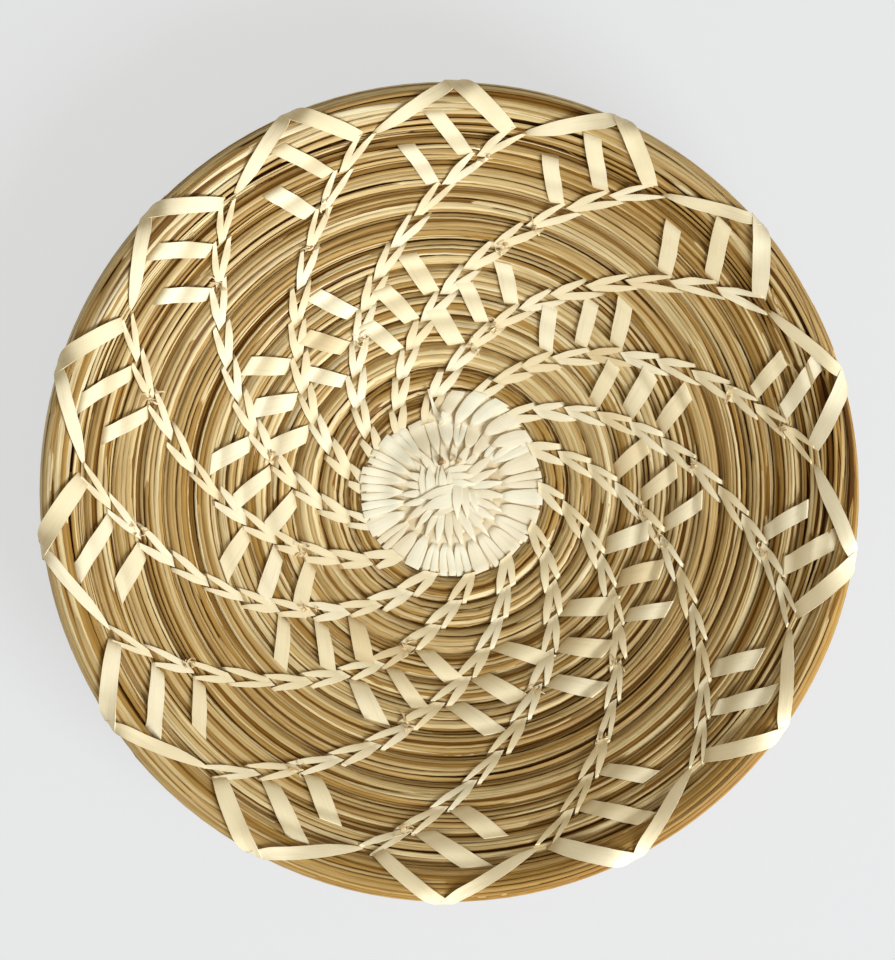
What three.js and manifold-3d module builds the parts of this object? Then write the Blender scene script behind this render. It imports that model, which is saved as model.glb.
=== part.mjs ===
import * as THREE from 'three';
import { mergeVertices } from 'three/addons/utils/BufferGeometryUtils.js';
import Module from 'manifold-3d';

// Coiled basket tray: one bundle of straw blades wound in a spiral and sewn with leaf splints.
// Millimetres, +Z up. The origin is on the table, under the middle of the dish.
// A place on the dish is an angle, or a turn of the coil, with a radius and a height off its mid surface.

const wasm = await Module();
wasm.setup();

// The dish
const trayDiameter = 270;
const dishDepth = 28; // rise of the coil from the middle to the rim
const dishCurve = 1.6; // power of the rise: 1 is a cone, 2 a parabola
const footRadius = 20; // the dish starts to rise here
const footCut = 0.5; // the close stitches are worn flat by this much where the tray stands

// The coil. Turn 0 is at twelve o'clock, where the close stitching ends, and turns run counterclockwise.
const coilHeight = 7.2;
const buttonRadius = 24.6; // inner edge of the first open round at turn 0
const buttonPitch = 10; // round to round under the close stitches
const openRounds = 11; // rounds between the middle and the rim round
const rimWidth = 13; // mean width of the rim round
const coilStartTurn = -2.4;
const coilEndAngle = 72; // degrees clockwise from twelve o'clock
const tailAngle = 12; // the last stretch thins out over this angle
const tailWidth = 4;
const loopSteps = 30; // facets in one round
const crossingPasses = 8; // rounds of refinement when a row's spiral is met with the coil's

// Splints
const seatClearance = 0.3;
const stitchThickness = 0.4;
const stitchNeck = 3; // width of a split stitch where it comes up
const stitchSpread = 6.6; // width across its two prongs
const rowCount = 14;
const rowStartAngle = 7.6; // degrees clockwise, at the edge of the middle
const rowSweep = 13.4; // degrees clockwise for each root millimetre of radius
const rowUnevenness = 4.5; // degrees that the rows crowd towards twelve o'clock at the sides
const innerLeafRounds = [3, 4, 5];
const outerLeafRounds = [openRounds - 2, openRounds - 1];
const leafWidth = 7;
const leafStart = 0.25; // in rounds, from the round below the leaf
const leafReach = 1.5; // in rounds
const leafLift = 0.15; // the leaf lies this much higher than the row it springs from
const leafMargin = 1; // between an inner leaf's tip and the next row
const outerLeafLean = 0.54; // of the way to the next row
const rimStitchWidth = 6.5;
const rimStitchClearance = 0.7;
const rimBackDrop = 0.3; // more room under the rim, where the dish bends away from a straight stitch
const rimStitchSpacing = 0.5; // between neighbours, and from the row below

// Close stitches and knot in the middle
const wrapThickness = 0.9;
const wrapRibDepth = 0.35;
const innerWraps = 30;
const outerWraps = 32;
const wrapEndGap = 0.5;
const knotReach = 17;
const knotStripWidth = 4.6;
const knotStripThickness = 0.9;
const knotStripSpacing = 5.4;
const knotTurn = 20; // degrees
const plugRadius = 2;
const plugSides = 10;
const plugTurn = -1.5; // the round beside the plug
const plugLift = 0.5;

const strawColour = 0xb8944f;
const splintColour = 0xeadfbb;

// Derived sizes
const fullTurn = 2 * Math.PI;
const twelveOClock = Math.PI / 2;
const trayRadius = trayDiameter / 2;
const halfHeight = coilHeight / 2;
const roundGap = stitchThickness + 2 * seatClearance; // room for a stitch between two rounds
const wrapReach = seatClearance + wrapThickness;
const rimStitchReach = rimStitchClearance + stitchThickness;
const rimRadius = trayRadius - rimStitchReach;
const coilEndTurn = Math.round((openRounds + 1 - coilEndAngle / 360) * loopSteps) / loopSteps;
const coilPitch = (rimRadius - rimWidth - buttonRadius) / (coilEndTurn - 0.5);
const baseHeight = halfHeight + wrapReach - footCut;
const riseSpan = rimRadius - rimWidth / 2 - footRadius;
const rowSpacing = 360 / rowCount;

// A point on the dish. The radius follows the flat facets of the coil, so that stitches seat evenly.
function dishPoint(angle, radius, height) {
  const run = Math.max(0, radius - footRadius) / riseSpan;
  const rise = dishDepth * run ** dishCurve;
  const slope = Math.atan(dishDepth * dishCurve * run ** (dishCurve - 1) / riseSpan);
  const step = fullTurn / loopSteps;
  const offset = THREE.MathUtils.euclideanModulo(angle - twelveOClock, step) - step / 2;
  const reach = (radius - height * Math.sin(slope)) * Math.cos(step / 2) / Math.cos(offset);
  return new THREE.Vector3(
    reach * Math.cos(angle),
    reach * Math.sin(angle),
    baseHeight + rise + height * Math.cos(slope)
  );
}

const turnAngle = (turn) => twelveOClock + fullTurn * turn;
const clockAngle = (degrees) => twelveOClock - THREE.MathUtils.degToRad(degrees);

// Inner edge of the round at a turn. The tail drifts out to the rim as it thins.
function innerRadius(turn) {
  if (turn < 0) return buttonRadius + buttonPitch * turn;
  const spiral = buttonRadius + coilPitch * turn;
  const tail = THREE.MathUtils.smoothstep(turn, coilEndTurn - tailAngle / 360, coilEndTurn);
  return THREE.MathUtils.lerp(spiral, rimRadius - tailWidth, tail);
}

function outerRadius(turn) {
  const onRim = turn > coilEndTurn - 1 + 0.5 / loopSteps;
  return onRim ? rimRadius + roundGap / 2 : innerRadius(turn + 1);
}

// Six-sided section of the bundle as [radius, height] pairs, grown outwards by an offset.
function coilSection(turn, grow = 0) {
  const inset = roundGap / 2 + (turn < 0 ? wrapReach : 0) - grow;
  const inner = innerRadius(turn) + inset;
  const outer = outerRadius(turn) - inset;
  const middle = (inner + outer) / 2;
  const quarter = (outer - inner) / 4;
  const top = halfHeight + grow;
  return [
    [outer, 0], [middle + quarter, top], [middle - quarter, top],
    [inner, 0], [middle - quarter, -top], [middle + quarter, -top],
  ];
}

const coilRing = (turn, grow) =>
  coilSection(turn, grow).map(([radius, height]) => dishPoint(turnAngle(turn), radius, height));

// A closed body from points and triangles, turned so that its faces point out.
function body(points, triangles) {
  const volume = triangles.reduce((sum, [a, b, c]) => sum + points[a].dot(
    new THREE.Vector3().crossVectors(points[b], points[c])), 0);
  const index = triangles.flatMap(([a, b, c]) => volume < 0 ? [a, c, b] : [a, b, c]);
  const geometry = new THREE.BufferGeometry().setFromPoints(points);
  geometry.setIndex(index);
  return geometry;
}

function band(triangles, sides, from, to) {
  for (let side = 0; side < sides; side++) {
    const next = (side + 1) % sides;
    triangles.push([from + side, to + side, to + next], [from + side, to + next, from + next]);
  }
}

// A solid through a row of rings, with flat ends.
function loft(rings) {
  const sides = rings[0].length;
  const last = (rings.length - 1) * sides;
  const triangles = [];
  for (let ring = 1; ring < rings.length; ring++) {
    band(triangles, sides, (ring - 1) * sides, ring * sides);
  }
  for (let side = 2; side < sides; side++) {
    triangles.push([0, side - 1, side], [last, last + side, last + side - 1]);
  }
  return body(rings.flat(), triangles);
}

// A sleeve with its own rings outside and in the bore, open at both ends.
function sleeve(outside, bore) {
  const sides = outside[0].length;
  const points = [...outside.flat(), ...bore.flat()];
  const boreStart = outside.length * sides;
  const outsideEnd = boreStart - sides;
  const boreEnd = points.length - sides;
  const triangles = [];
  for (let at = 0; at < outsideEnd; at += sides) band(triangles, sides, at, at + sides);
  for (let at = boreStart; at < boreEnd; at += sides) band(triangles, sides, at + sides, at);
  band(triangles, sides, boreStart, 0);
  band(triangles, sides, outsideEnd, boreEnd);
  return body(points, triangles);
}

function toSolid(geometry) {
  const bare = geometry.clone();
  bare.deleteAttribute('normal');
  bare.deleteAttribute('uv');
  const merged = mergeVertices(bare);
  return new wasm.Manifold(new wasm.Mesh({
    numProp: 3,
    vertProperties: new Float32Array(merged.attributes.position.array),
    triVerts: new Uint32Array(merged.index.array),
  }));
}

function fromSolid(solid) {
  const mesh = solid.getMesh();
  const geometry = new THREE.BufferGeometry();
  geometry.setAttribute('position', new THREE.BufferAttribute(mesh.vertProperties, 3));
  geometry.setIndex(new THREE.BufferAttribute(mesh.triVerts, 1));
  return geometry;
}

const join = (pieces) => fromSolid(pieces.map(toSolid).reduce((whole, piece) => whole.add(piece)));

function standOnTable(geometry) {
  const size = 2 * trayDiameter;
  const room = new THREE.BoxGeometry(size, size, size).translate(0, 0, size / 2);
  return fromSolid(toSolid(geometry).intersect(toSolid(room)));
}

// Foundation coil: one unbroken tube from the middle to the tail at the rim.
function coilRings() {
  const first = Math.round(coilStartTurn * loopSteps);
  const last = Math.round(coilEndTurn * loopSteps);
  const rings = [];
  for (let step = first; step <= last; step++) rings.push(coilRing(step / loopSteps));
  return rings;
}

// Least distance between one round and the next, over the points of neighbouring rings.
function leastRoundGap(rings) {
  let least = Infinity;
  for (let ring = 0; ring + loopSteps < rings.length; ring++) {
    for (let other = ring + loopSteps - 1; other <= ring + loopSteps + 1; other++) {
      for (const here of rings[ring]) {
        for (const there of rings[other] ?? []) least = Math.min(least, here.distanceTo(there));
      }
    }
  }
  return least;
}

// Close stitches: a ribbed sleeve of splints round one round of the coil.
function closeStitches(fromTurn, toTurn, wraps) {
  const outside = [];
  for (let ring = 0; ring <= 2 * wraps; ring++) {
    const turn = THREE.MathUtils.lerp(fromTurn, toTurn, ring / (2 * wraps));
    outside.push(coilRing(turn, wrapReach - (ring % 2 ? 0 : wrapRibDepth)));
  }
  const boreTurns = [fromTurn];
  const firstFacet = Math.floor(fromTurn * loopSteps) + 1;
  for (let step = firstFacet; step < toTurn * loopSteps; step++) boreTurns.push(step / loopSteps);
  boreTurns.push(toTurn);
  return standOnTable(sleeve(outside, boreTurns.map((turn) => coilRing(turn, seatClearance))));
}

// Centre knot: two pairs of crossing strips over the start of the coil, on a plug in its hole.
function centreKnot() {
  const seat = baseHeight + halfHeight + wrapReach + seatClearance;
  const pieces = [];
  for (const side of [-1, 1]) {
    const under = new THREE.BoxGeometry(knotReach, knotStripWidth, knotStripThickness);
    under.translate(0, side * knotStripSpacing / 2, seat + knotStripThickness / 2);
    const over = new THREE.BoxGeometry(knotStripWidth, knotReach, knotStripThickness);
    over.translate(side * knotStripSpacing / 2, 0, seat + knotStripThickness);
    pieces.push(under, over);
  }
  const plugLength = seat + knotStripThickness / 2 - plugLift;
  const plug = new THREE.CylinderGeometry(plugRadius, plugRadius, plugLength, plugSides);
  plug.rotateX(Math.PI / 2);
  plug.translate(0, 0, plugLift + plugLength / 2);
  const holeAngle = turnAngle(plugTurn) - THREE.MathUtils.degToRad(knotTurn);
  const holeRadius = innerRadius(plugTurn) / 2;
  plug.translate(holeRadius * Math.cos(holeAngle), holeRadius * Math.sin(holeAngle), 0);
  return join([...pieces, plug]).rotateZ(THREE.MathUtils.degToRad(knotTurn));
}

// Stitch rows. Row angles are in degrees clockwise from twelve o'clock.
function rowAngle(row, radius) {
  const sweep = rowSweep * (Math.sqrt(radius) - Math.sqrt(buttonRadius));
  const even = rowStartAngle + row * rowSpacing + sweep;
  return even - rowUnevenness * Math.sin(THREE.MathUtils.degToRad(even));
}

// Radius where a row passes between two rounds: the row's spiral meets the coil's.
function grooveRadius(row, round) {
  let radius = buttonRadius + coilPitch * round;
  for (let pass = 0; pass < crossingPasses; pass++) {
    radius = innerRadius(round + 1 - rowAngle(row, radius) / 360);
  }
  return radius;
}

// A chain of stitches: each goes over one round, down the groove and back underneath.
function stitchChain(row) {
  const inside = halfHeight + seatClearance;
  const outside = inside + stitchThickness;
  const levels = [-outside, -inside, inside, outside];
  const stations = [];
  for (let round = 0; round <= openRounds; round++) {
    const groove = grooveRadius(row, round);
    const spread = round ? stitchSpread : stitchNeck;
    stations.push({ radius: groove - stitchThickness / 2, width: spread });
    stations.push({ radius: groove + stitchThickness / 2, width: stitchNeck });
  }
  const points = stations.flatMap(({ radius, width }) => [-1, 1].flatMap((side) => levels.map((level) => {
    const half = (level === outside ? width : stitchNeck) / 2;
    return dishPoint(clockAngle(rowAngle(row, radius)) + side * half / radius, radius, level);
  })));
  const id = (station, side, level) => (station * 2 + side) * 4 + level;
  const triangles = [];
  const quad = (a, b, c, d) => triangles.push([a, b, c], [a, c, d]);
  const last = stations.length - 1;
  for (let a = 0; a < last; a++) {
    const b = a + 1;
    quad(id(a, 0, 3), id(b, 0, 3), id(b, 1, 3), id(a, 1, 3));
    quad(id(a, 0, 0), id(a, 1, 0), id(b, 1, 0), id(b, 0, 0));
    const overCoil = a % 2 === 1;
    for (let low = 0; low < 3; low++) {
      if (overCoil && low === 1) continue;
      quad(id(a, 1, low), id(a, 1, low + 1), id(b, 1, low + 1), id(b, 1, low));
      quad(id(a, 0, low), id(b, 0, low), id(b, 0, low + 1), id(a, 0, low + 1));
    }
    if (overCoil) {
      quad(id(a, 0, 2), id(a, 1, 2), id(b, 1, 2), id(b, 0, 2));
      quad(id(a, 0, 1), id(b, 0, 1), id(b, 1, 1), id(a, 1, 1));
      quad(id(a, 0, 1), id(a, 1, 1), id(a, 1, 2), id(a, 0, 2));
      quad(id(b, 0, 1), id(b, 0, 2), id(b, 1, 2), id(b, 1, 1));
    }
  }
  for (let low = 0; low < 3; low++) {
    quad(id(0, 0, low), id(0, 0, low + 1), id(0, 1, low + 1), id(0, 1, low));
    quad(id(last, 0, low), id(last, 1, low), id(last, 1, low + 1), id(last, 0, low + 1));
  }
  return body(points, triangles);
}

// A leaf stitch springs from its row and leans counterclockwise over a round and a half.
function leafStitch(row, round, outer) {
  const groove = grooveRadius(row, round);
  const root = groove + leafStart * coilPitch;
  const tip = groove + leafReach * coilPitch;
  const rootAngle = clockAngle(rowAngle(row, root)) + stitchSpread / 4 / root;
  const nearNext = (stitchSpread / 2 + leafMargin + leafWidth / 2) / tip;
  const tipAngle = outer
    ? clockAngle(rowAngle(row - outerLeafLean, tip))
    : clockAngle(rowAngle(row - 1, tip)) - nearNext;
  const low = halfHeight + seatClearance + leafLift;
  const high = low + stitchThickness;
  return loft([[rootAngle, root], [tipAngle, tip]].map(([angle, radius]) => {
    const half = leafWidth / 2 / radius;
    return [
      dishPoint(angle - half, radius, low), dishPoint(angle + half, radius, low),
      dishPoint(angle + half, radius, high), dishPoint(angle - half, radius, high),
    ];
  }));
}

function stitchRow(row) {
  const inner = innerLeafRounds.map((round) => leafStitch(row, round, false));
  const outer = outerLeafRounds.map((round) => leafStitch(row, round, true));
  return join([stitchChain(row), ...inner, ...outer]);
}

// Rim stitches lean from a row to the peak half way to its neighbour, over the rim and back.
function rimAngle(row) {
  const turns = Math.floor(row / rowCount);
  const own = row - turns * rowCount;
  return rowAngle(own, grooveRadius(own, openRounds)) + 360 * turns;
}

function rimStitch(row, lean) {
  const foot = grooveRadius(row, openRounds) + stitchThickness / 2 + rimStitchSpacing;
  const beside = (rimStitchWidth + rimStitchSpacing) / 2;
  const footAngle = clockAngle(rimAngle(row)) - lean * beside / foot;
  const peak = (rimAngle(row) + rimAngle(row + lean)) / 2;
  const peakAngle = clockAngle(peak) + lean * beside / rimRadius;
  const halfFacet = 0.5 / loopSteps;
  const pastPeak = THREE.MathUtils.euclideanModulo(
    coilEndTurn - (peakAngle - twelveOClock) / fullTurn + halfFacet, 1) - halfFacet;
  const shoulder = coilSection(coilEndTurn - Math.max(0, pastPeak))[1][0];
  const top = halfHeight + rimStitchClearance;
  const under = top + rimBackDrop;
  const edge = rimRadius + rimStitchClearance;
  const path = [
    [footAngle, foot, top, 0, 1], [peakAngle, shoulder, top, 0, 1], [peakAngle, edge, 0, 1, 0],
    [peakAngle, shoulder, -under, 0, -1], [footAngle, foot, -under, 0, -1],
  ];
  return loft(path.map(([angle, radius, height, out, up]) => {
    const half = rimStitchWidth / 2 / radius;
    const farRadius = radius + out * stitchThickness;
    const farHeight = height + up * stitchThickness;
    return [
      dishPoint(angle - half, radius, height), dishPoint(angle + half, radius, height),
      dishPoint(angle + half, farRadius, farHeight), dishPoint(angle - half, farRadius, farHeight),
    ];
  }));
}

const straw = new THREE.MeshStandardMaterial({ color: strawColour, roughness: 0.75, metalness: 0 });
const splint = new THREE.MeshStandardMaterial({ color: splintColour, roughness: 0.6, metalness: 0 });

const tray = new THREE.Group();

function addPiece(name, geometry, material) {
  const mesh = new THREE.Mesh(geometry, material);
  mesh.name = name;
  tray.add(mesh);
}

const rings = coilRings();
console.log(`least gap between rounds of the coil: ${leastRoundGap(rings).toFixed(2)} mm`);
addPiece('foundation_coil', loft(rings), straw);

const halfEndGap = wrapEndGap / 2 / (fullTurn * (buttonRadius - buttonPitch));
addPiece('close_stitches_inner', closeStitches(coilStartTurn, -1 - halfEndGap, innerWraps), splint);
addPiece('close_stitches_outer', closeStitches(-1 + halfEndGap, -1 / loopSteps, outerWraps), splint);
addPiece('centre_knot', centreKnot(), splint);

for (let row = 0; row < rowCount; row++) {
  const number = String(row + 1).padStart(2, '0');
  addPiece(`stitch_row_${number}`, stitchRow(row), splint);
  addPiece(`rim_stitch_${number}_left`, rimStitch(row, -1), splint);
  addPiece(`rim_stitch_${number}_right`, rimStitch(row, 1), splint);
}

export default tray;
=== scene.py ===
import bpy
import numpy as np
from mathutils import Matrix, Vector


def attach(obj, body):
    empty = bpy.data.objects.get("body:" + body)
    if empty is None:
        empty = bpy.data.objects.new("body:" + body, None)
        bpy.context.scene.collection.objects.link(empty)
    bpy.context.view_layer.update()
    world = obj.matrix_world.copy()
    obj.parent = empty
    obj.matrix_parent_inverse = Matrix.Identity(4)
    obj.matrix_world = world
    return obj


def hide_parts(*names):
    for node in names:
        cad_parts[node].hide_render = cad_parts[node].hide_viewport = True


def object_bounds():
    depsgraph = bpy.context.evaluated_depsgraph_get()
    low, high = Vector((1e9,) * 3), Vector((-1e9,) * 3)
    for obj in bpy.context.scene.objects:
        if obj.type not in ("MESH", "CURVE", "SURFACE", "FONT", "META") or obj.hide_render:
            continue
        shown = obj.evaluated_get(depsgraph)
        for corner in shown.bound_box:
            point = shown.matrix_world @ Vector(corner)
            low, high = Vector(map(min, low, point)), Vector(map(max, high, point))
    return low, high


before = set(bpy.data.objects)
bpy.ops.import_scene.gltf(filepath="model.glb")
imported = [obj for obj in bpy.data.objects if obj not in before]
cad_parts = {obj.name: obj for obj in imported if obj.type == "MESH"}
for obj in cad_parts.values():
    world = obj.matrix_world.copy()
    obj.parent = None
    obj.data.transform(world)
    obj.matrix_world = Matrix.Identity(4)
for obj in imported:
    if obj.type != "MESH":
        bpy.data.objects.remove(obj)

cadLow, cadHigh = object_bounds()
print("frame loaded:", len(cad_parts), "nodes")

# Lengths are in millimetres up to the mesh, where they become metres.
# A place on the dish is an angle, a radius and a height square to the dish.
# Turns count the coil's rounds counterclockwise from twelve o'clock. Clock angles are degrees clockwise.
# Along a strip t runs from 0 to 1, so a smooth step on t lies between two shares of the strip's length.

millimetre = 0.001
sharpAngle = 50             # degrees; edges that bend more are split, so that they shade sharp
fibreShift = (40, 13)       # along and across, from strip to strip, so that neighbours differ

tray = {
    "rimRadius": 133.9,
    "rimWidth": 13.0,       # of the last round, half a turn before the coil ends
    "depth": 28.0,          # rise of the coil from the middle to the rim
    "curve": 1.6,           # power of the rise
    "footRadius": 20.0,     # the dish starts to rise here
    "baseHeight": 4.3,      # middle of the bundle above the table, in the middle of the tray
}
tray["riseSpan"] = tray["rimRadius"] - tray["rimWidth"] / 2 - tray["footRadius"]

coil = {
    "halfHeight": 3.6,
    "buttonRadius": 24.6,   # inner edge of the first open round at turn 0
    "buttonPitch": 10.0,
    "startTurn": -2.4,
    "endTurn": 11.8,
    "tailTurns": 0.14,      # the bundle thins out over this stretch
    "tailWidth": 0.8,
    "squareness": 2.5,      # 2 is an ellipse, more is flatter on top
}
openWidth = tray["rimRadius"] - tray["rimWidth"] - coil["buttonRadius"]
coil["pitch"] = round(openWidth / (coil["endTurn"] - 0.5), 3)

rows = {
    "count": 14,
    "rounds": 11,
    "startAngle": 7.6,      # degrees clockwise from twelve o'clock
    "sweep": 13.4,          # degrees for each root millimetre of radius
    "unevenness": 4.5,      # degrees that the rows crowd towards twelve o'clock
    "rimRadius": 121.8,     # where the last split stitch comes up
    "shifted": (7, 11),     # rounds over which the stations shift to end there
    "refinements": 8,
}


def onDish(angle, radius, height):
    # the rise grows with a power of the radius; the height stands square to the slanted wall
    run = np.maximum(radius - tray["footRadius"], 0) / tray["riseSpan"]
    rise = tray["depth"] * run ** tray["curve"]
    slope = np.arctan(tray["depth"] * tray["curve"] * run ** (tray["curve"] - 1) / tray["riseSpan"])
    reach = radius - height * np.sin(slope)
    return np.stack([reach * np.cos(angle), reach * np.sin(angle),
                     tray["baseHeight"] + rise + height * np.cos(slope)], -1)


def unit(vectors):
    # each vector over its own length
    return vectors / np.maximum(np.linalg.norm(vectors, axis=-1, keepdims=True), 1e-9)


def outward(angle, radius, height, lean):
    # direction in the section of a bundle: lean 0 points away from the middle, 90 degrees off the dish
    step = 0.1
    here = onDish(angle, radius, height)
    out = unit(onDish(angle, radius + step, height) - here)
    off = unit(onDish(angle, radius, height + step) - here)
    return np.cos(lean)[..., None] * out + np.sin(lean)[..., None] * off


def smoothStep(low, high, value):
    # a cubic from 0 at low to 1 at high, level at both and beyond
    t = np.clip((value - low) / (high - low), 0, 1)
    return t * t * (3 - 2 * t)


def draw(rng, span, count):
    # one even draw for each strip, between two limits or as far either way as a single one
    low, high = span if isinstance(span, tuple) else (-span, span)
    return rng.uniform(low, high, (count, 1))


def turnAngle(turn):
    # a full circle for each turn, from twelve o'clock
    return np.pi / 2 + 2 * np.pi * turn


def clockAngle(degrees):
    # twelve o'clock less the degrees clockwise
    return np.pi / 2 - np.radians(degrees)


def spiralRadius(turn):
    # an even spiral on each side of turn 0, with a pitch of its own
    return coil["buttonRadius"] + np.where(turn < 0, coil["buttonPitch"], coil["pitch"]) * turn


def innerRadius(turn):
    # the spiral of two pitches, whose tail drifts out to the rim
    tail = smoothStep(coil["endTurn"] - coil["tailTurns"], coil["endTurn"], turn)
    return spiralRadius(turn) + tail * (tray["rimRadius"] - coil["tailWidth"] - spiralRadius(turn))


def outerRadius(turn):
    # the next round's inner edge, and where there is no next round the rim
    return np.where(turn < coil["endTurn"] - 1, innerRadius(turn + 1), tray["rimRadius"])


def rowAngle(row, radius):
    # an even fan of spirals that follow the root of the radius, crowded a little towards the top
    even = rows["startAngle"] + row * 360 / rows["count"]
    even = even + rows["sweep"] * (np.sqrt(radius) - np.sqrt(coil["buttonRadius"]))
    return even - rows["unevenness"] * np.sin(np.radians(even))


def grooveRadius(row, rounds):
    # where a row's spiral meets the coil's, found by going back and forth between the two
    radius = coil["buttonRadius"] + coil["pitch"] * rounds
    for refine in range(rows["refinements"]):
        radius = spiralRadius(rounds + 1 - rowAngle(row, radius) / 360)
    return radius


def smoothPath(knots, count):
    # a Catmull-Rom curve through each row of knots, sampled evenly in its parameter
    knots = np.concatenate([2 * knots[:, :1] - knots[:, 1:2], knots, 2 * knots[:, -1:] - knots[:, -2:-1]], 1)
    place = np.linspace(0, knots.shape[1] - 3 - 1e-6, count)
    first = place.astype(int)
    t = (place - first)[None, :, None]
    a, b, c, d = (knots[:, first + step] for step in range(4))
    return b + 0.5 * t * (c - a + t * (2 * a - 5 * b + 4 * c - d + t * (3 * (b - c) + d - a)))


# Sections of a strip in order round it: across and level, from -1 to 1
bandSection = np.array([[-1, 1], [-0.4, 1], [0.4, 1], [1, 1], [1, -1], [0.4, -1], [-0.4, -1], [-1, -1]])
prongSection = np.array([[-1, 1], [0, 1], [1, 1], [1, -1], [0, -1], [-1, -1]])
bladeSection = np.array([[-1, 0], [-0.45, 1], [0.45, 1], [1, 0], [0.45, -1], [-0.45, -1]])


def ribbons(path, up, halfWidth, thickness, crown, tint, section, side=None):
    # a section is carried along each path: across times the half width sideways, level times half the
    # thickness upwards, and a crown that falls off with the square of across; each point is marked with
    # its tint, one a strip or one a step, and its place along and across the strip
    strips, steps = path.shape[:2]
    sides = len(section)
    step = np.gradient(path, axis=1)
    if side is None:
        along = unit(step)
        side = unit(np.cross(along, up))
        up = np.cross(side, along)
    across, level = section[:, 0], section[:, 1]
    sideways = np.broadcast_to(halfWidth, (strips, steps))[..., None] * across
    upwards = np.broadcast_to(thickness, (strips, steps))[..., None] / 2 * level
    upwards = upwards + np.broadcast_to(crown, (strips, steps))[..., None] * (1 - across ** 2)
    points = path[:, :, None] + sideways[..., None] * side[:, :, None] + upwards[..., None] * up[:, :, None]
    length = np.cumsum(np.linalg.norm(step, axis=-1), axis=1)
    shape = (strips, steps, sides)
    number = np.arange(strips)[:, None, None]
    uv = np.stack([np.broadcast_to(length[..., None], shape) + fibreShift[0] * number,
                   sideways + fibreShift[1] * number], -1)
    mark = np.stack([np.broadcast_to(tint.reshape(strips, -1, 1), shape),
                     np.broadcast_to(np.linspace(0, 1, steps)[None, :, None], shape),
                     np.broadcast_to(across, shape)], -1)
    index = np.arange(strips * steps * sides).reshape(shape)
    following = np.roll(index, -1, axis=2)
    walls = np.stack([index[:, :-1], following[:, :-1], following[:, 1:], index[:, 1:]], -1)
    upright = np.abs(np.roll(across, -1) - across) < 1e-6
    smooth = np.broadcast_to(~upright, walls.shape[:3]).ravel()
    half = np.arange(sides // 2 - 1)
    cap = np.stack([half, half + 1, sides - 2 - half, sides - 1 - half], -1)
    ends = index[:, -1][:, cap].reshape(-1, 4)
    starts = index[:, 0][:, cap[:, ::-1]].reshape(-1, 4)
    return {"points": points.reshape(-1, 3), "faces": np.concatenate([walls.reshape(-1, 4), ends, starts]),
            "smooth": np.concatenate([smooth, np.zeros(len(ends) + len(starts), dtype=bool)]),
            "uv": uv.reshape(-1, 2), "mark": mark.reshape(-1, 3)}


def gather(parts):
    # several shapes as one: the corners of each count on from the points before it
    starts = np.cumsum([0] + [len(part["points"]) for part in parts[:-1]])
    whole = {key: np.concatenate([part[key] for part in parts]) for key in ("points", "uv", "mark", "smooth")}
    whole["faces"] = np.concatenate([part["faces"] + start for part, start in zip(parts, starts)])
    return whole


def addPiece(name, shape, material, nodes):
    # the shape's four-cornered faces as a mesh in metres, with its UV map and marks
    mesh = bpy.data.meshes.new(name)
    faces = shape["faces"]
    mesh.vertices.add(len(shape["points"]))
    mesh.vertices.foreach_set("co", (shape["points"] * millimetre).ravel())
    mesh.loops.add(faces.size)
    mesh.loops.foreach_set("vertex_index", faces.ravel().astype(np.int32))
    mesh.polygons.add(len(faces))
    mesh.polygons.foreach_set("loop_start", np.arange(0, faces.size, 4, dtype=np.int32))
    mesh.polygons.foreach_set("use_smooth", shape["smooth"])
    mesh.uv_layers.new(name="UVMap").data.foreach_set("uv", shape["uv"][faces.ravel()].ravel())
    mesh.attributes.new("mark", "FLOAT_VECTOR", "POINT").data.foreach_set("vector", shape["mark"].ravel())
    mesh.update(calc_edges=True)
    mesh.validate()
    mesh.materials.append(material)
    piece = bpy.data.objects.new(name, mesh)
    bpy.context.scene.collection.objects.link(piece)
    edges = piece.modifiers.new("sharpEdges", "EDGE_SPLIT")
    edges.split_angle = np.radians(sharpAngle)
    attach(piece, "root")
    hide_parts(*nodes)
    return piece


# Materials

fibre = {
    "scales": ((0.04, 2.4, 1.0), (0.12, 7.0, 1.0), (0.045, 0.5, 1.0)),  # coarse and fine fibres, slow patches
    "detail": 3,
    "patchSpan": 0.3,       # of the noise, from a patch's first trace to its full brown
    "edgeFrom": 0.5,        # share of the half width where the painted shade along the edge starts
    "rootSpan": 0.16,       # share of the length that is browned at the root, as painted shade where it goes into the groove and as stain
    "bumpHeight": 0.0002,   # metres
}


def feed(tree, socket, value):
    # another socket is linked, a plain value is set
    if isinstance(value, bpy.types.NodeSocket):
        tree.links.new(value, socket)
    else:
        socket.default_value = value


def addNode(tree, kind, inputs, **settings):
    # one node: its settings first, then its inputs by name or number
    node = tree.nodes.new(kind)
    for name, value in settings.items():
        setattr(node, name, value)
    for name, value in inputs.items():
        feed(tree, node.inputs[name], value)
    return node


def mathNode(tree, operation, first, second, clamp=False):
    # the operation on two values, with clamp held between 0 and 1
    node = addNode(tree, "ShaderNodeMath", {0: first, 1: second}, operation=operation, use_clamp=clamp)
    return node.outputs[0]


def rangeNode(tree, value, fromRange, toRange):
    # a straight line that takes one range to the other, held at its ends
    limits = dict(zip(("From Min", "From Max", "To Min", "To Max"), (*fromRange, *toRange)))
    return addNode(tree, "ShaderNodeMapRange", {"Value": value, **limits}).outputs["Result"]


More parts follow.
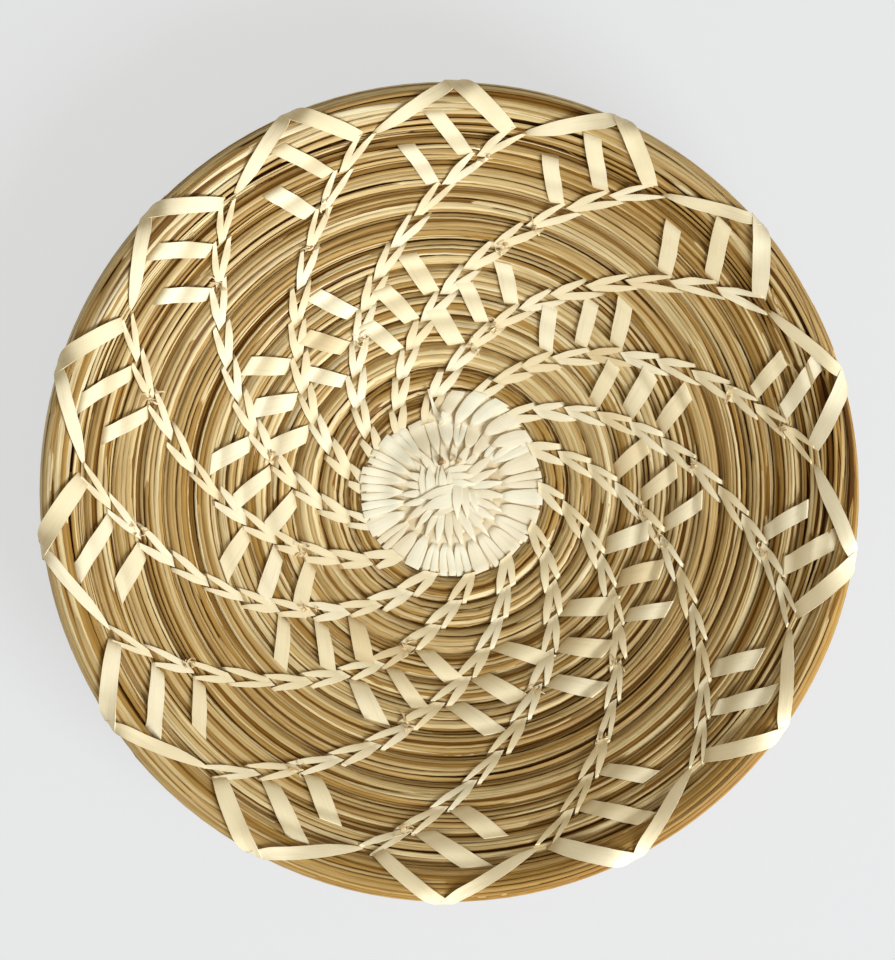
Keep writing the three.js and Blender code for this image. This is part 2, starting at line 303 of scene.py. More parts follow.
def fibreGroup():
    # lengthwise fibres: noise stretched along the strip's own length, coarse and fine together,
    # and slow patches that drift along the strip
    group = bpy.data.node_groups.new("leafFibre", "ShaderNodeTree")
    for name in ("Fineness", "Depth"):
        group.interface.new_socket(name, in_out="INPUT", socket_type="NodeSocketFloat")
    for name in ("Streak", "Height", "Patch"):
        group.interface.new_socket(name, in_out="OUTPUT", socket_type="NodeSocketFloat")
    entry = group.nodes.new("NodeGroupInput")
    uv = addNode(group, "ShaderNodeUVMap", {}, uv_map="UVMap")
    grains = []
    for scale in fibre["scales"]:
        mapping = addNode(group, "ShaderNodeMapping", {"Vector": uv.outputs["UV"], "Scale": scale})
        noise = addNode(group, "ShaderNodeTexNoise", {
            "Vector": mapping.outputs["Vector"],
            "Scale": entry.outputs["Fineness"],
            "Detail": fibre["detail"],
        })
        grains.append(noise.outputs["Fac"])
    coarse, fine, patch = grains
    both = mathNode(group, "ADD", coarse, fine)
    centred = mathNode(group, "SUBTRACT", both, 1.0)
    streak = mathNode(group, "MULTIPLY", centred, entry.outputs["Depth"])
    addNode(group, "NodeGroupOutput", {"Streak": streak, "Height": both, "Patch": patch})
    return group


def stripMaterial(name, ramp, look):
    # colour by each strip's own tint, streaked by its fibres and browned in patches; browned at its root as
    # painted shade where it goes into the groove and as stain, and darkened along its edges as painted shade
    # between strips
    material = bpy.data.materials.new(name)
    material.use_nodes = True
    tree = material.node_tree
    mark = addNode(tree, "ShaderNodeAttribute", {}, attribute_name="mark")
    split = addNode(tree, "ShaderNodeSeparateXYZ", {"Vector": mark.outputs["Vector"]})
    tint, along, across = split.outputs
    colours = addNode(tree, "ShaderNodeValToRGB", {"Fac": tint})
    stops = colours.color_ramp.elements
    for place, colour in ramp[1:-1]:
        stops.new(place).color = (*colour, 1)
    for stop, (place, colour) in ((stops[0], ramp[0]), (stops[-1], ramp[-1])):
        stop.position = place
        stop.color = (*colour, 1)
    grain = addNode(tree, "ShaderNodeGroup", {"Fineness": look["fineness"], "Depth": look["streak"]},
                    node_tree=bpy.data.node_groups["leafFibre"])
    lighten = mathNode(tree, "ADD", grain.outputs["Streak"], 1.0)
    streaked = addNode(tree, "ShaderNodeVectorMath", {0: colours.outputs["Color"], "Scale": lighten},
                       operation="SCALE")
    patchRange = (look["patchFrom"], look["patchFrom"] + fibre["patchSpan"])
    patched = rangeNode(tree, grain.outputs["Patch"], patchRange, (0, look["patchMost"]))
    # the root's browning is painted shade where the strip goes into the groove, with some stain; the edges'
    # darkening is painted shade between strips
    rootStainAndShade = rangeNode(tree, along, (0, fibre["rootSpan"]), (look["rootMost"], 0))
    edge = mathNode(tree, "ABSOLUTE", across, 0)
    edgeShade = rangeNode(tree, edge, (fibre["edgeFrom"], 1), (0, look["edgeMost"]))
    ends = mathNode(tree, "ADD", patched, rootStainAndShade)
    browned = mathNode(tree, "ADD", ends, edgeShade, clamp=True)
    finish = addNode(tree, "ShaderNodeMix", {"Factor": browned}, data_type="RGBA")
    colourIn = [socket for socket in finish.inputs if socket.type == "RGBA"]
    colourOut = [socket for socket in finish.outputs if socket.type == "RGBA"]
    feed(tree, colourIn[0], streaked.outputs["Vector"])
    feed(tree, colourIn[1], (*look["brown"], 1))
    bump = addNode(tree, "ShaderNodeBump", {
        "Strength": look["bump"],
        "Distance": fibre["bumpHeight"],
        "Height": grain.outputs["Height"],
    })
    shader = tree.nodes["Principled BSDF"]
    feed(tree, shader.inputs["Base Color"], colourOut[0])
    feed(tree, shader.inputs["Normal"], bump.outputs["Normal"])
    feed(tree, shader.inputs["Roughness"], look["roughness"])
    feed(tree, shader.inputs["Specular IOR Level"], look["specular"])
    return material


fibreGroup()
strawRamp = [(0.0, (0.065, 0.021, 0.001)), (0.2, (0.26, 0.115, 0.014)), (0.38, (0.44, 0.255, 0.065)),
             (0.55, (0.63, 0.435, 0.18)), (0.75, (0.79, 0.62, 0.32)), (1.0, (0.94, 0.83, 0.56))]
splintRamp = [(0.0, (0.30, 0.16, 0.06)), (0.15, (0.66, 0.46, 0.22)), (0.4, (0.89, 0.72, 0.43)),
              (0.7, (0.94, 0.80, 0.52)), (1.0, (0.97, 0.86, 0.61))]
# a paler copy of the splint colours for the middle: painted light, since the flat middle catches less of the
# low lamp
paintedLitRamp = [(0.0, (0.30, 0.15, 0.06)), (0.15, (0.60, 0.42, 0.22)), (0.4, (0.89, 0.76, 0.52)),
            (0.7, (0.95, 0.86, 0.65)), (1.0, (0.96, 0.90, 0.70))]
# edgeMost is painted shade along the edges, the dark lines between blades; rootMost is painted shade at the
# root, with some stain
strawLook = {"fineness": 1.0, "streak": 0.7, "patchFrom": 0.45, "patchMost": 0.4, "edgeMost": 0.42,
             "rootMost": 0.2, "brown": (0.20, 0.085, 0.015), "bump": 0.5, "roughness": 0.45,
             "specular": 0.15}
splintLook = {"fineness": 1.2, "streak": 0.16, "patchFrom": 0.55, "patchMost": 0.3, "edgeMost": 0.06,
              "rootMost": 0.5, "brown": (0.52, 0.36, 0.17), "bump": 0.2, "roughness": 0.5,
              "specular": 0.35}
straw = stripMaterial("straw", strawRamp, strawLook)
splint = stripMaterial("splint", splintRamp, splintLook)
paintedLitSplint = stripMaterial("paintedLitSplint", paintedLitRamp, splintLook)
print("materials ready")


# Straw bundle

bundle = {
    "seed": 11,
    # Layers of blades: the turns they cover, the trains of blades side by side round the bundle, their
    # place between its middle and its skin, tint and width, and how brown their outward side is, as painted
    # shade: evenly, and more on one side of the tray, with painted light on the other side
    "outer": {"turns": (-0.12, 10.84), "trains": 23, "size": (0.94, 1.03), "tint": (0.29, 0.85),
              "width": (0.9, 1.9), "brown": (0.0, 0.0)},
    "rim": {"turns": (10.8, 11.8), "trains": 37, "size": (0.95, 1.01), "tint": (0.3, 0.85),
            "width": (1.2, 2.2), "brown": (0.1, 0.42)},
    # the inner blades' dark tint is painted shade in the gaps between the outer blades
    "inner": {"turns": (-0.12, 11.8), "trains": 18, "size": (0.84, 0.9), "tint": (0.0, 0.36),
              "width": (1.5, 2.6), "brown": (0.0, 0.0)},
    "pieces": 3,            # of each layer
    "length": (110, 280),   # of one blade
    "leastRadius": 25.0,    # by which its length is made a share of a turn
    "stagger": 0.3,         # turns by which the trains start apart
    "overlap": 0.1,         # share of a blade's length
    "thickness": 0.55,
    "broader": 0.4,         # in the first rounds
    "broadRounds": (1, 5),  # the blades narrow over these
    "trainJitter": 0.35,    # share of the way to the next train
    "drift": 0.1,           # of the way round the bundle, over one blade
    "waver": (0.2, 6, 3),   # drift to and fro: its share, its rate along a blade and its spread of phase
    "twist": 0.16,          # radians
    "swing": (0.8, 5, 6),   # twist to and fro: the same
    "tuck": 0.06,           # share of a blade's length where each end goes under
    "tuckDepth": 0.2,
    "tuckNarrow": 0.55,
    "tintBend": (1.6, 1.4),  # beta distribution
    "shadeOverTop": 0.15,       # share of the painted shade that reaches the top
    "shadiestClock": 145,        # clock angle of the deepest painted shade; the other side of the rim is lightened as painted light
    "fullReach": 3.5,       # half width under which the bundle is lower
    "thinnest": 0.25,
    "steps": 36,
    "girthSteps": 721,
    "coreDepth": 1.1,       # of the core below the skin
    "coreGap": 0.03,        # to the edge of its round
    "coreLeast": 0.1,
    # the core's near black is painted shade deep in the bundle
    "coreShadeTint": 0.02,
    "coreSides": 8,
    "coreSteps": 1500,
    "coreStop": 0.005,      # turns before the coil's end
}

sectionTurns = np.linspace(0, 2 * np.pi, bundle["girthSteps"])


def power(value):
    # the size raised to the power that squares off an ellipse, with the sign kept
    return np.sign(value) * np.abs(value) ** (2 / coil["squareness"])


def bundlePlace(turn, girth, size):
    # girth runs once round a rounded-square section; size 1 is the skin of the bundle
    reach = (outerRadius(turn) - innerRadius(turn)) / 2
    middle = innerRadius(turn) + reach
    wide, high = power(np.cos(sectionTurns)), power(np.sin(sectionTurns))
    walked = np.concatenate([[0], np.cumsum(np.hypot(np.diff(wide), np.diff(high)))])
    lean = np.interp(np.mod(girth, 1), walked / walked[-1], sectionTurns)
    radius = middle + reach * size * power(np.cos(lean))
    thin = np.clip(reach / bundle["fullReach"], bundle["thinnest"], 1)
    height = coil["halfHeight"] * size * thin * power(np.sin(lean))
    steep = 2 - 2 / coil["squareness"]
    slant = np.arctan2(np.abs(np.sin(lean)) ** steep * np.sign(np.sin(lean)),
                       np.abs(np.cos(lean)) ** steep * np.sign(np.cos(lean)))
    return turnAngle(turn), radius, height, slant, thin


def strawBlades(layer, rng):
    # each train's blades are laid end over end along the coil, drift round the bundle by a straight line
    # and a sine, twist by a sine, and tuck under at their ends
    starts, ends, trains = [], [], []
    first, last = layer["turns"]
    for train in range(layer["trains"]):
        turn = first - rng.uniform(0, bundle["stagger"])
        while turn < last:
            radius = max(bundle["leastRadius"], float(innerRadius(np.array(turn))))
            span = rng.uniform(*bundle["length"]) / (2 * np.pi * radius)
            starts.append(max(first, turn))
            ends.append(min(last, turn + span))
            trains.append(train)
            turn += span * (1 - bundle["overlap"])
    starts, ends, trains = (np.array(values, dtype=float) for values in (starts, ends, trains))
    count = len(starts)
    t = np.linspace(0, 1, bundle["steps"])
    turn = starts[:, None] + (ends - starts)[:, None] * t
    sway = rng.uniform(-1, 1, (count, 3, 1))
    girth = (trains[:, None] + draw(rng, bundle["trainJitter"], count)) / layer["trains"]
    share, rate, phase = bundle["waver"]
    waver = share * sway[:, 1] * np.sin(rate * t + phase * sway[:, 2])
    girth = girth + bundle["drift"] * (sway[:, 0] * (t - 0.5) + waver)
    tuck = 1 - smoothStep(0, bundle["tuck"], t) * smoothStep(0, bundle["tuck"], 1 - t)
    size = draw(rng, layer["size"], count) - bundle["tuckDepth"] * tuck
    angle, radius, height, slant, thin = bundlePlace(turn, girth, size)
    path = onDish(angle, radius, height)
    share, rate, phase = bundle["swing"]
    swing = share * np.sin(rate * t + phase * sway[:, 1])
    twist = bundle["twist"] * (rng.normal(0, 1, (count, 1)) + swing)
    up = outward(angle, radius, height, slant + twist)
    broad = 1 + bundle["broader"] * (1 - smoothStep(*bundle["broadRounds"], turn))
    narrow = 1 - bundle["tuckNarrow"] * tuck
    halfWidth = draw(rng, layer["width"], count) / 2 * broad * narrow * thin
    low, high = layer["tint"]
    tint = low + (high - low) * rng.beta(*bundle["tintBend"], count)
    # the outward side of the blades is browned as painted shade, most at the shadiest clock angle, and
    # lightened as painted light across the tray from it
    outwardShade = np.clip(bundle["shadeOverTop"] + np.cos(2 * np.pi * trains / layer["trains"]), 0, 1)[:, None]
    brown, more = layer["brown"]
    brown = brown + more * np.cos(2 * np.pi * turn + np.radians(bundle["shadiestClock"]))
    tint = tint[:, None] * (1 - brown * outwardShade)
    order = np.argsort(starts)
    return [ribbons(path[part], up[part], halfWidth[part], bundle["thickness"], 0.0, tint[part], bladeSection)
            for part in np.array_split(order, bundle["pieces"])]


def bundleCore():
    # a dark rounded tube inside the blades closes the gaps between them; its near black is painted shade,
    # standing in for the shaded blades deep in the bundle
    turn = np.linspace(coil["startTurn"], coil["endTurn"] - bundle["coreStop"], bundle["coreSteps"])[None]
    lean = np.radians(np.arange(0, 360, 360 / bundle["coreSides"]))
    reach = (outerRadius(turn) - innerRadius(turn)) / 2
    middle = innerRadius(turn) + reach
    angle = turnAngle(turn)
    level = np.zeros_like(middle)
    path = onDish(angle, middle, level)
    up = outward(angle, middle, level, level + np.pi / 2)
    ring = np.stack([-np.cos(lean), np.sin(lean)], -1)
    halfWidth = np.maximum(reach - bundle["coreGap"], bundle["coreLeast"])
    thickness = 2 * (coil["halfHeight"] - bundle["coreDepth"])
    return ribbons(path, up, halfWidth, thickness, 0.0, np.array([bundle["coreShadeTint"]]), ring)


rng = np.random.default_rng(bundle["seed"])
bladeFaces = 0
for word in ("outer", "rim", "inner"):
    for number, part in enumerate(strawBlades(bundle[word], rng), 1):
        addPiece(f"{word}Blades{number}", part, straw, ["foundation_coil"])
        bladeFaces += len(part["faces"])
addPiece("bundleCore", bundleCore(), straw, ["foundation_coil"])
print("straw bundle:", bladeFaces, "faces")


# Splint stitches

stitches = {
    "seed": 7,
    "thickness": 0.3,
    "lift": 0.7,            # of a stitch above the bundle
    "sag": 0.75,            # how far it bends down into a groove
    "dive": 2.6,            # how far its ends go down between the blades
    "shown": (0.05, 0.92),  # shares of its length where it is up and where it goes down again
    "before": 1.8,          # it comes up this far before its groove
    "base": 2.3,            # half its width along the groove, near the middle of the tray
    "baseGrowth": -0.35,    # how that changes towards the rim
    "baseJitter": 0.4,
    "growth": (30, 55),     # radius where the stitches start to change, and over how far
    "startWidth": 0.85,     # share of its width where it comes up
    "fork": (0.2, 0.38),    # share of its length where it forks
    "forkCurve": 1.25,
    "split": -0.5,          # where it forks, clockwise of the row
    # Prongs: hand, reach past the next station, spread and tip width, each near the middle of the tray
    # and with what is added towards the rim
    "prongs": ((-1, (0.8, 1.8), (1.3, 0.8), (1.7, -0.6)), (1, (0.6, 0.0), (1.3, 1.0), (1.5, -0.6))),
    "spreadSpan": 0.55,     # share of its length over which a prong drifts out
    "spreadJitter": (0.7, 1.25),
    "tipJitter": (0.6, 1.2),
    "endJitter": 1.1,
    "tint": (0.45, 1.0),
    "tan": (0.05, 0.45),    # share of the strips that are of browner leaf, and the share of tint they keep
    "firstLift": 0.6,       # of a row's first stitch, which starts on the close stitches
    "crown": 0.02,          # rise across a strip, as a share of half its width
    "crowding": 1.25,       # power that draws the steps towards the start
    "steps": 12,
    "backWidth": 1.8,       # half of it, under the bundle
    "backJitter": (0.85, 1.15),
    "backDive": 0.14,       # share of its length
    "backCrown": 0.02,      # millimetres
    "backTint": (0.35, 0.9),
}

leaves = {
    # The round of each leaf's root, its reach in rounds, and its lean in millimetres clockwise
    "places": ((3, 1.5, -13.2), (4, 1.5, -13.2), (5, 1.5, -13.2), (9, 1.55, -13.4), (10, 1.7, -17.6)),
    "root": (-4.9, -1.0),   # clockwise and outwards from the split stitch
    "width": (4.8, 6.3),
    "rootWidth": 0.88,      # share of the full width
    "steepest": 30,         # clock angle where the leaves lean least
    "leanSwing": 0.22,
    "reachSwing": 0.5,      # share of that, added to the reach
    "leanJitter": 1.6,
    "tipJitter": 1.0,
    "bend": 0.5,
    "lift": 1.05,
    "sag": 1.2,
    "rootDive": (1.8, 0.06),    # depth, and the share of the length where it is up
    "tipDive": (3.2, 0.88),     # depth, and the share of the length where it starts down
    "rootSlant": 0.7,       # 1 is cut along the blades, as the tip is
    "slantSpan": (0.3, 0.7),
    "leastSquare": 0.4,     # limit to the stretch of a slanted end
    "tint": (0.55, 1.0),
    "steps": 12,
}

frays = {
    "joints": 2,            # of each row
    "firstRound": 2,
    "fibres": 6,            # at a joint
    "length": (1.6, 4.2),
    "curl": 2.6,            # radians either way, over its length
    "spread": 1.4,          # millimetres either way
    "lift": 0.5,
    "rise": (0.3, 1.2),
    "arch": 2.6,            # radians of a sine
    "tilt": 0.5,
    "halfWidth": (0.15, 0.45),
    "taper": 0.6,
    "thickness": 0.12,
    "tint": (0.05, 0.5),
    "steps": 7,
}


def crest(angle, radius):
    # 1 on the top of a round, 0 in a groove: where the radius falls between the round's two edges
    turn = angle / (2 * np.pi) - 0.25
    turn = turn + np.floor((radius - coil["buttonRadius"]) / coil["pitch"] - turn)
    turn = np.where(turn > coil["endTurn"], turn - 1, turn)
    inner, outer = innerRadius(turn), outerRadius(turn)
    return 1 - np.clip(np.abs(2 * (radius - inner) / (outer - inner) - 1), 0, 1) ** 2


def slantedStrips(angle, radius, height, halfWidth, slanted, tint, section):
    # strips whose ends are cut along the blades: where slanted is 1 their width is laid off along the round,
    # where it is 0 square to the strip
    path = onDish(angle, radius, height)
    up = outward(angle, radius, height, np.full_like(angle, np.pi / 2))
    clockwise = np.stack([np.sin(angle), -np.cos(angle), np.zeros_like(angle)], -1)
    square = unit(np.cross(np.gradient(path, axis=1), up))
    square = square * np.sign(np.sum(square * clockwise, -1, keepdims=True))
    side = unit(square + (clockwise - square) * np.broadcast_to(slanted, angle.shape)[..., None])
    stretch = 1 / np.clip(np.sum(side * square, -1), leaves["leastSquare"], 1)
    crown = stitches["crown"] * halfWidth
    return ribbons(path, up, halfWidth * stretch, stitches["thickness"], crown, tint, section, side)


def levelStrips(angle, radius, height, halfWidth, lean, tint, thickness, crown=stitches["crown"]):
    # strips whose width is laid off along the round
    path = onDish(angle, radius, height)
    up = outward(angle, radius, height, lean)
    side = np.stack([np.sin(angle), -np.cos(angle), 0 * angle], -1)
    return ribbons(path, up, halfWidth, thickness, crown * np.abs(halfWidth), tint, prongSection, side)


def rowStations(row):
    # the grooves where a row's stitches come up, the last ones shifted by a smooth step to end at the rim
    rounds = np.arange(rows["rounds"] + 1)
    radius = grooveRadius(row, rounds)
    radius = radius + smoothStep(*rows["shifted"], rounds) * (rows["rimRadius"] - radius[-1])
    return radius, rowAngle(row, radius)


def rowSteps(row):
    # each station with its step to the next, clockwise and outwards
    radius, clock = rowStations(row)
    forward = np.radians(np.diff(clock)) * (radius[:-1] + radius[1:]) / 2
    return radius[:-1, None], clock[:-1, None], forward[:, None], np.diff(radius)[:, None]


def stepsFrom(radius, clock, clockwise, outwards):
    # millimetres clockwise and outwards from a station, as angle and radius on the dish
    reach = radius + outwards
    return clockAngle(clock) - clockwise / reach, reach


def someTan(rng, tint):
    # a few strips are browner: their tint is cut to a share
    few, darker = stitches["tan"]
    return np.where(rng.uniform(0, 1, tint.shape) < few, darker * tint, tint)


def splitStitches(row, rng):
    # a strip cut along its groove that forks: each prong lies between an outer edge, which drifts away from
    # the row, and an inner edge, which leaves the row at the fork
    radius, clock, forward, out = rowSteps(row)
    count = len(radius)
    length = np.hypot(forward, out)
    growFrom, growOver = stitches["growth"]
    wide = np.clip((radius - growFrom) / growOver, 0, 1)
    t = np.linspace(0, 1, stitches["steps"])[None] ** stitches["crowding"]
    fork = length * draw(rng, stitches["fork"], count)
    base = stitches["base"] + stitches["baseGrowth"] * wide + draw(rng, stitches["baseJitter"], count)
    tint = someTan(rng, rng.uniform(*stitches["tint"], count))
    first = stitches["firstLift"] * (np.arange(count)[:, None] == 0)
    startWidth = stitches["startWidth"]
    up, down = stitches["shown"]
    split = stitches["split"]
    parts = []
    for hand, *sizes in stitches["prongs"]:
        over, spread, tip = (near + added * wide for near, added in sizes)
        tip = tip * draw(rng, stitches["tipJitter"], count)
        end = length + over + draw(rng, stitches["endJitter"], count)
        along = t * (end + stitches["before"]) - stitches["before"]
        spread = spread * draw(rng, stitches["spreadJitter"], count)
        outer = base + spread * smoothStep(0, stitches["spreadSpan"], t)
        outer = outer * (startWidth + (1 - startWidth) * smoothStep(0, 0.1, t))
        apart = np.clip((along - fork) / (end - fork), 0, 1) ** stitches["forkCurve"]
        inner = split + (hand * (outer[:, -1:] - tip) - split) * apart
        across = (hand * outer + inner) / 2
        angle, reach = stepsFrom(radius, clock, along * forward / length + across, along * out / length)
        height = coil["halfHeight"] + stitches["lift"] - stitches["sag"] * (1 - crest(angle, reach))
        height = height - stitches["dive"] * (1 - smoothStep(0, up, t) + smoothStep(down, 1, t))
        height = height + first * (1 - smoothStep(0, 0.5, t))
        half = np.abs(hand * outer - inner) / 2
        lean = np.pi / 2 + 0 * angle
        parts.append(levelStrips(angle, reach, height, half, lean, tint, stitches["thickness"]))
    return parts


def leafStitches(row, rng):
    # flat strips that lean counterclockwise on a straight line with a slight bow, widen from the root and go
    # under the blades
    rounds, reach, lean = (column[:, None] for column in np.array(leaves["places"]).T)
    radius, clock = (values[rounds.astype(int)] for values in rowStations(row))
    count = len(rounds)
    swing = leaves["leanSwing"] * np.cos(np.radians(clock - leaves["steepest"]))
    lean = (lean + draw(rng, leaves["leanJitter"], count)) * (1 - swing)
    tip = reach * coil["pitch"] * (1 + leaves["reachSwing"] * swing) + draw(rng, leaves["tipJitter"], count)
    rootAcross, rootOut = leaves["root"]
    t = np.linspace(0, 1, leaves["steps"])[None]
    bend = draw(rng, leaves["bend"], count) * np.sin(np.pi * t)
    angle, reach = stepsFrom(radius, clock, rootAcross + t * lean + bend, rootOut + t * (tip - rootOut))
    height = coil["halfHeight"] + leaves["lift"] - leaves["sag"] * (1 - crest(angle, reach))
    (rootDeep, up), (tipDeep, down) = leaves["rootDive"], leaves["tipDive"]
    height = height - rootDeep * (1 - smoothStep(0, up, t)) - tipDeep * smoothStep(down, 1, t)
    rootWidth, rootSlant = leaves["rootWidth"], leaves["rootSlant"]
    width = draw(rng, leaves["width"], count) / 2
    width = width * (rootWidth + (1 - rootWidth) * smoothStep(0, 0.5, t))
    slanted = rootSlant + (1 - rootSlant) * smoothStep(*leaves["slantSpan"], t)
    tint = someTan(rng, rng.uniform(*leaves["tint"], count))
    return [slantedStrips(angle, reach, height, width, slanted, tint, bandSection)]


def looseEnds(row, rng):
    # torn fibres at a few joints of the row: each runs off its own way on an arc and curls up and over
    radius, clock = rowStations(row)
    count = frays["joints"] * frays["fibres"]
    joints = rng.choice(np.arange(frays["firstRound"], rows["rounds"]), frays["joints"], replace=False)
    pick = np.repeat(joints, frays["fibres"])
    t = np.linspace(0, 1, frays["steps"])[None]
    spread = frays["spread"]
    heading = rng.uniform(0, 2 * np.pi, (count, 1)) + draw(rng, frays["curl"], count) * t
    stride = draw(rng, frays["length"], count) / frays["steps"]
    spot = rng.uniform(-spread, spread, (2, count, 1))
    across = spot[0] + np.cumsum(stride * np.cos(heading), 1)
    out = spot[1] + np.cumsum(stride * np.sin(heading), 1)
    angle, reach = stepsFrom(radius[pick, None], clock[pick, None], across, out)
    arch = draw(rng, frays["rise"], count) * np.sin(frays["arch"] * t)
    height = coil["halfHeight"] + frays["lift"] + arch
    path = onDish(angle, reach, height)
    up = outward(angle, reach, height, np.pi / 2 + rng.normal(0, frays["tilt"], (count, 1)) + 0 * t)
    width = draw(rng, frays["halfWidth"], count) * (1 - frays["taper"] * t)
    tint = rng.uniform(*frays["tint"], count)
    return [ribbons(path, up, width, frays["thickness"], 0.0, tint, prongSection)]


def backStitches(row, rng):
    # one plain strip straight across under each round
    radius, clock, forward, out = rowSteps(row)
    count = len(radius)
    t = np.linspace(0, 1, stitches["steps"])[None]
    angle, reach = stepsFrom(radius, clock, t * forward, t * out)
    height = stitches["sag"] * (1 - crest(angle, reach)) - coil["halfHeight"] - stitches["lift"]
    span = stitches["backDive"]
    height = height + stitches["dive"] * (2 - smoothStep(0, span, t) - smoothStep(0, span, 1 - t))
    path = onDish(angle, reach, height)
    up = outward(angle, reach, height, np.full_like(angle, -np.pi / 2))
    width = stitches["backWidth"] * draw(rng, stitches["backJitter"], count)
    tint = rng.uniform(*stitches["backTint"], count)
    return [ribbons(path, up, width, stitches["thickness"], stitches["backCrown"], tint, prongSection)]


rng = np.random.default_rng(stitches["seed"])
for row in range(rows["count"]):
    parts = splitStitches(row, rng) + leafStitches(row, rng) + looseEnds(row, rng) + backStitches(row, rng)
    addPiece(f"stitchRow{row + 1:02d}", gather(parts), splint, [f"stitch_row_{row + 1:02d}"])
print("stitch rows:", rows["count"])


# Rim stitches

rim = {
    "seed": 8,
    "peakLean": 1.6,        # degrees clockwise of half way
    "edgeRadius": 129.6,    # the strip starts to roll over the rim here
    "roll": 4.9,
    "rollPower": 0.7,
    "lift": 0.8,
    "crown": 0.06,
    "widthJitter": (0.78, 1.06),
    "endWidth": 0.6,        # share of the full width
    "tint": (0.6, 1.0),
    "steps": 34,
    # Knots of a strip: out from where it starts or from the edge, above its top or on the way back its
    # underside, and its lean in degrees
    "climb": (("start", -0.8, -2.4, 90), ("start", 0.4, -0.6, 90), ("start", 3.0, 0.0, 90),
              ("edge", -1.6, 0.0, 88), ("edge", 1.2, -0.3, 72)),
    "bend": (52, 20, -15, -50),
    "back": (("edge", 0.8, 0.2, -80), ("edge", -2.0, 0.0, -90), ("start", 2.5, 0.0, -90),
             ("start", 0.0, 1.8, -90)),
    # The strip that leans counterclockwise lies on top; the offset is in degrees at the foot, and the
    # shares are how far each knot is from foot to peak
    "left": {"hand": -1, "width": 6.4, "startWidth": 0.75, "over": 0.4, "offset": -1.2,
             "shares": (0.0, 0.06, 0.22, 0.42, 0.6, 0.75, 0.9, 1.0, 1.0, 0.85, 0.55, 0.25, 0.0)},
    "right": {"hand": 1, "width": 5.0, "startWidth": 0.1, "over": 0.0, "offset": 0.6,
              "shares": (0.0, 0.08, 0.3, 0.52, 0.7, 0.86, 0.95, 1.0, 1.0, 0.85, 0.55, 0.25, 0.0)},
}


def rimClock(row):
    # the clock angle of a row's last station; rows past either end count on round the tray
    turns = np.floor_divide(row, rows["count"])
    return rowStations(row - turns * rows["count"])[1][-1] + 360 * turns


def rimStitch(row, strip, rng):
    # up the rim from the row's last station to the peak, round the edge on the way, and back underneath
    foot = rimClock(row)
    peak = (foot + rimClock(row + strip["hand"])) / 2 + rim["peakLean"]
    top = coil["halfHeight"] + rim["lift"] + strip["over"]
    edge = rim["edgeRadius"]
    origin = {"start": rows["rimRadius"], "edge": edge}
    knots = [(origin[place] + out, top + above, lean) for place, out, above, lean in rim["climb"]]
    for lean in rim["bend"]:
        turn = np.radians(lean)
        knots.append((edge + rim["roll"] * np.cos(turn) ** rim["rollPower"], top * np.sin(turn), lean))
    knots += [(origin[place] + out, above - top, lean) for place, out, above, lean in rim["back"]]
    radius, height, lean = np.array(knots).T
    share = np.array(strip["shares"])
    angle = clockAngle(foot + share * (peak - foot) + strip["offset"] * (1 - share))
    path = smoothPath(np.stack([angle, radius, height, np.radians(lean)], -1)[None], rim["steps"])
    angle, radius, height, lean = np.moveaxis(path, -1, 0)
    t = np.linspace(0, 1, rim["steps"])
    startWidth, endWidth = strip["startWidth"], rim["endWidth"]
    width = strip["width"] / 2 * rng.uniform(*rim["widthJitter"])
    width = width * (startWidth + (1 - startWidth) * smoothStep(0, 0.22, t))
    width = width * (endWidth + (1 - endWidth) * smoothStep(0, 0.2, 1 - t))
    tint = someTan(rng, rng.uniform(*rim["tint"], 1))
    return ribbons(onDish(angle, radius, height), outward(angle, radius, height, lean), width[None],
                   stitches["thickness"], rim["crown"], tint, bandSection)


rng = np.random.default_rng(rim["seed"])
for row in range(rows["count"]):
    for word in ("left", "right"):
        addPiece(f"rimStitch{row + 1:02d}{word.title()}", rimStitch(row, rim[word], rng), splint,
                 [f"rim_stitch_{row + 1:02d}_{word}"])
print("rim stitches:", 2 * rows["count"])


# Close stitches in the middle

wraps = {
    "seed": 3,
    "lift": 0.75,
    "crown": 0.1,
    "thickness": 0.35,
    "plainThickness": 0.3,  # of the layers under the strips and under the bundle
    "underWidth": 0.47,     # half a strip's width under the bundle, as a share of the gap
    "tint": (0.45, 1.0),
    "steps": 12,
}

innerWraps = {
    "turns": (-2.0, -1.0),
    "count": 25,
    "root": 6.6,            # radius
    "tip": 18.6,
    "tipSwing": 0.9,        # farther out at three o'clock
    "tipJitter": 1.0,
    "lift": 0.3,            # above the outer row
    "bow": 0.25,
    "tipDrop": 0.6,
    "heightJitter": 0.25,
    "widthJitter": (0.85, 1.1),
    "point": 0.97,          # share of the width that a tip loses
    "skew": 0.16,
    "lean": 0.07,
    "seamShadeTint": (0.3, 0.5),
    "plainShort": 3.4,
    "plainDrop": 0.7,
    "plainWidth": 0.54,
    "underGap": 0.1,        # below the bundle
    "underTint": 0.4,       # added there
}

